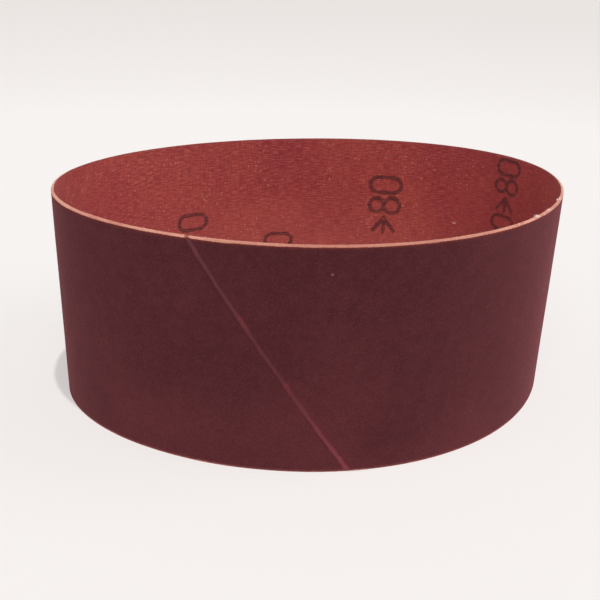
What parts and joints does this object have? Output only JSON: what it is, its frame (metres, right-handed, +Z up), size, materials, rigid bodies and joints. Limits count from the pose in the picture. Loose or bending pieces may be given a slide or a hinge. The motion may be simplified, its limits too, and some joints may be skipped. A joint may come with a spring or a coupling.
{
  "type": "sanding belt",
  "caption": "Endless loop of abrasive cloth for a belt sander, grain outwards, standing on its edge in a loose egg shape, with a slanted lap splice.",
  "frame": {"origin": "centre of the loop's outline, at the height of the lower edge that it stands on", "axes": "+X along the loop's long axis, +Y across it towards the broad side opposite the splice, +Z up along the belt's width"},
  "size_m": [0.1844, 0.142, 0.075],
  "materials": {
    "grain_coat": "brown-red fused alumina grain bonded in resin, matt and finely gritty",
    "cloth_back": "brick-red dyed and resin-filled cotton twill, matt, with a fine weave",
    "cut_edge": "raw slit edge of the cloth, pale and slightly frayed"
  },
  "bodies": {
    "root": {"sanding_belt": "grain_coat"}
  },
  "joints": []
}
